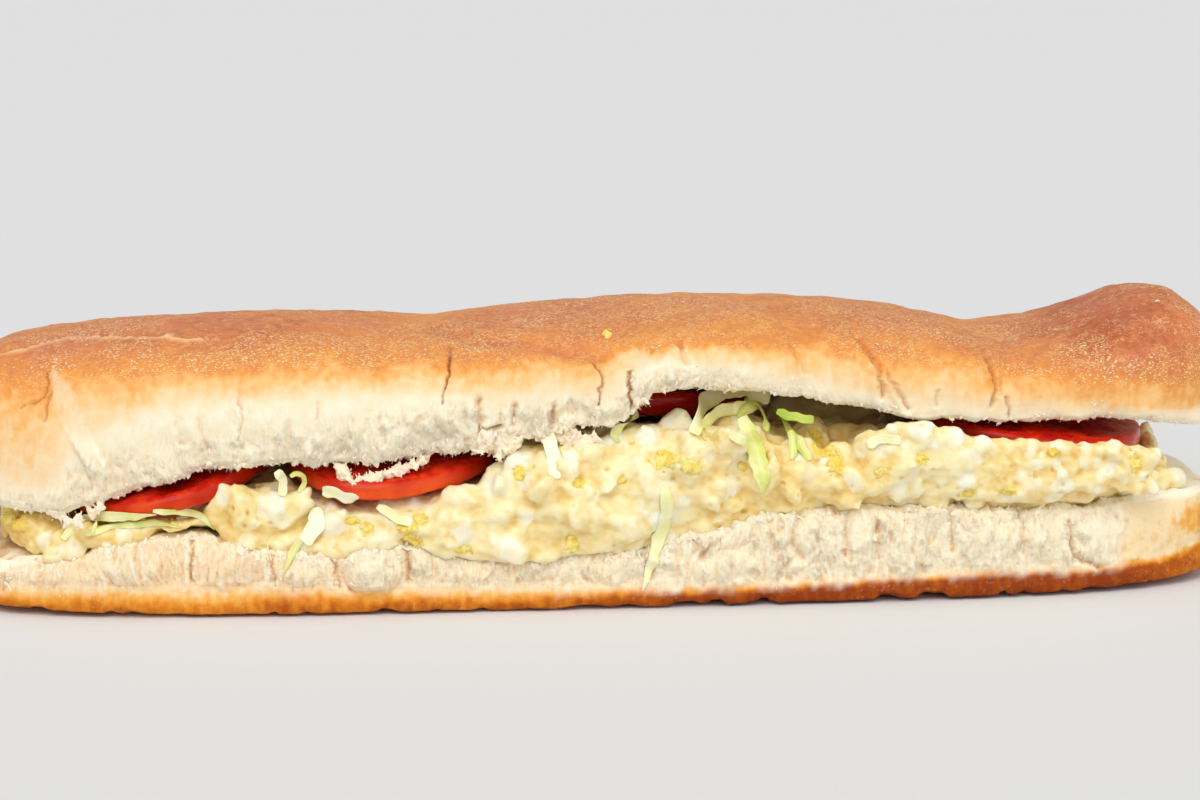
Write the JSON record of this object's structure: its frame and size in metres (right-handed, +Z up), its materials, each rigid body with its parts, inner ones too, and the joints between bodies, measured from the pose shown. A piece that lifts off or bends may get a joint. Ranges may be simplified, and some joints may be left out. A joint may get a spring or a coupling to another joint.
{
  "type": "egg salad sandwich",
  "caption": "Long soft roll sandwich cut along its side, filled with creamy egg salad, tomato slices and shredded lettuce, lying on its flat crust.",
  "frame": {"origin": "on the surface that the sandwich rests on, below the middle of its bounding box", "axes": "+X along the roll, towards the end that is humped; -Y out of the torn front where the filling shows; +Z up"},
  "size_m": [0.312, 0.0887, 0.0701],
  "materials": {
    "bread": "baked crust, reddish brown on top and golden at the sides, over torn cream-white crumb",
    "egg_salad": "moist, creamy and lumpy",
    "tomato": "wet cut face and shiny skin",
    "lettuce": "thin, pale and translucent"
  },
  "bodies": {
    "root": {"bread_top": "bread", "bread_bottom": "bread", "egg_salad": "egg_salad", "tomato_1": "tomato", "tomato_2": "tomato", "tomato_3": "tomato", "tomato_4": "tomato", "lettuce_left": "lettuce", "lettuce_middle": "lettuce", "lettuce_back": "lettuce", "lettuce_strip_1": "lettuce", "lettuce_strip_2": "lettuce", "lettuce_strip_3": "lettuce"}
  },
  "joints": []
}
